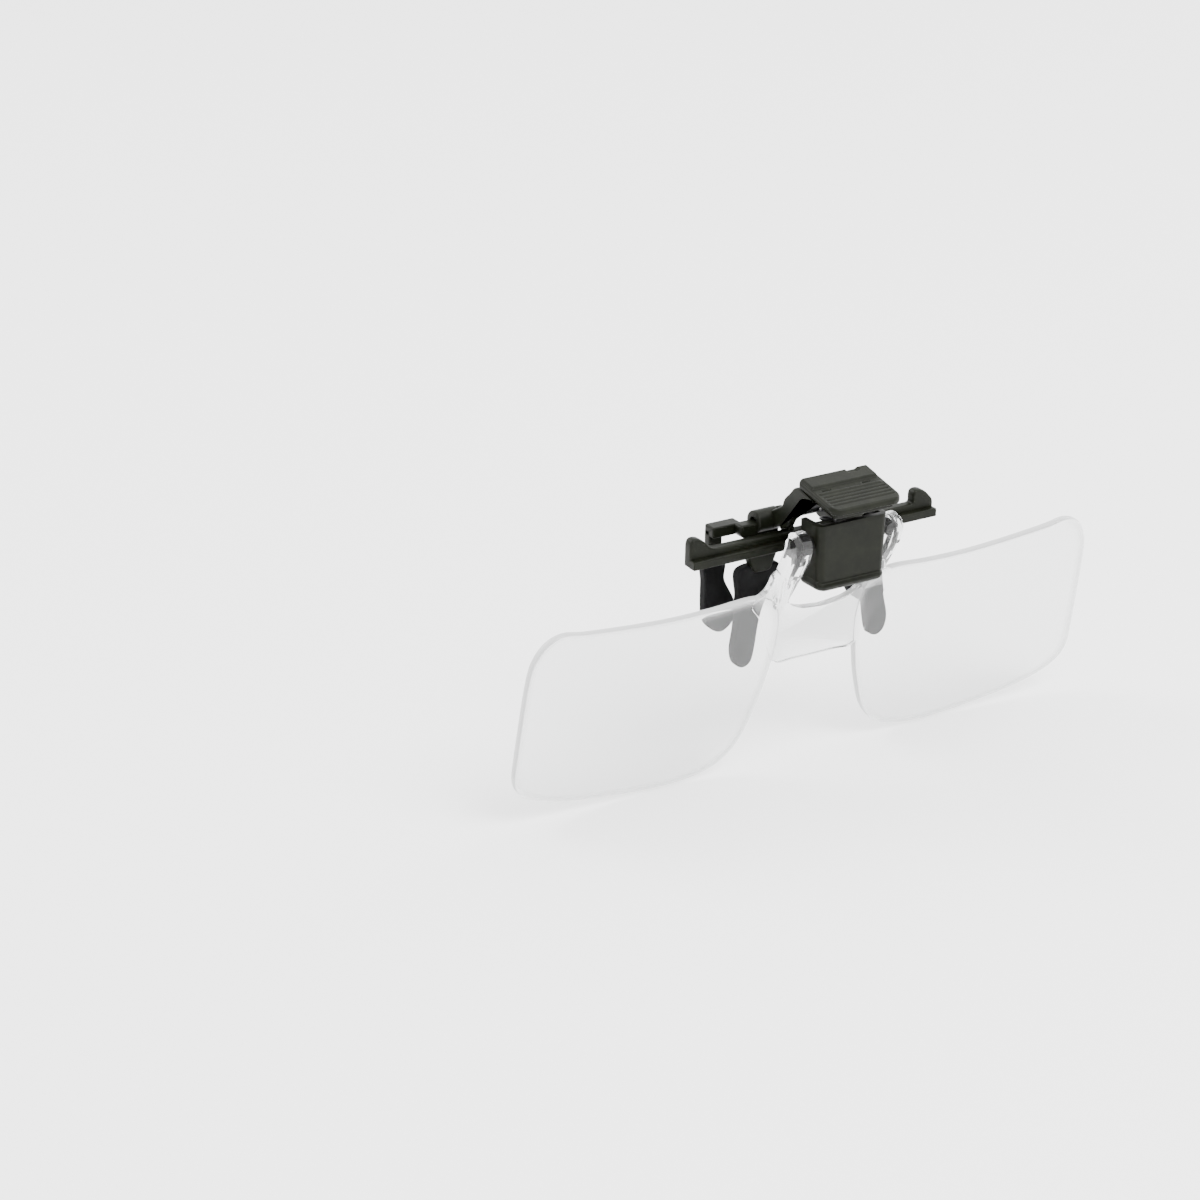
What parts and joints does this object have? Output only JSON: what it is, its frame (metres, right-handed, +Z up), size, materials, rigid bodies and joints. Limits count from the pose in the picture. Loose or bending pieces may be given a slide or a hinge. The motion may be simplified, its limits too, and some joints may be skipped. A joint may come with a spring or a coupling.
{
  "type": "clip-on flip-up magnifying lenses",
  "caption": "Clear twin-lens magnifier that clips over a spectacle bridge with spring-closed rubber jaws and flips up on an axle in front of them.",
  "frame": {"origin": "middle of the jaw gap, on the centre plane of the clip, where a spectacle rim sits", "axes": "+X to the right as seen by someone looking at the lenses from the front, -Y out of the front through the lenses, +Z up along the jaws to the press cap"},
  "size_m": [0.1196, 0.0228, 0.0557],
  "materials": {
    "clip_plastic": "satin olive black, moulded",
    "axle_plastic": "satin black, moulded",
    "steel": "bright spring steel",
    "rubber": "matte black, soft",
    "clear_acrylic": "clear, polished, with bright cut edges"
  },
  "bodies": {
    "clip_body": {"clip_frame": "clip_plastic", "housing_cover": "clip_plastic", "hinge_pin": "steel", "press_spring": "steel", "detent_leaf_spring": "steel", "front_left_sleeve": "rubber", "front_right_sleeve": "rubber"},
    "lever": {"press_lever": "clip_plastic", "press_cap": "clip_plastic", "rear_left_sleeve": "rubber", "rear_right_sleeve": "rubber"},
    "lens": {"lens_unit": "clear_acrylic", "flip_axle": "axle_plastic"}
  },
  "joints": [
    {"name": "press_lever", "type": "hinge", "parent": "clip_body", "child": "lever", "pos_m": [0, 0, 0.0151], "axis": [1, 0, 0], "range_deg": [-8, 9], "stiffness_Nm_per_rad": 0.15, "deforming": ["press_spring"]},
    {"name": "lens_flip", "type": "hinge", "parent": "clip_body", "child": "lens", "pos_m": [0, -0.0126, 0.0148], "axis": [-1, 0, 0], "range_deg": [0, 90], "deforming": ["detent_leaf_spring"]}
  ]
}
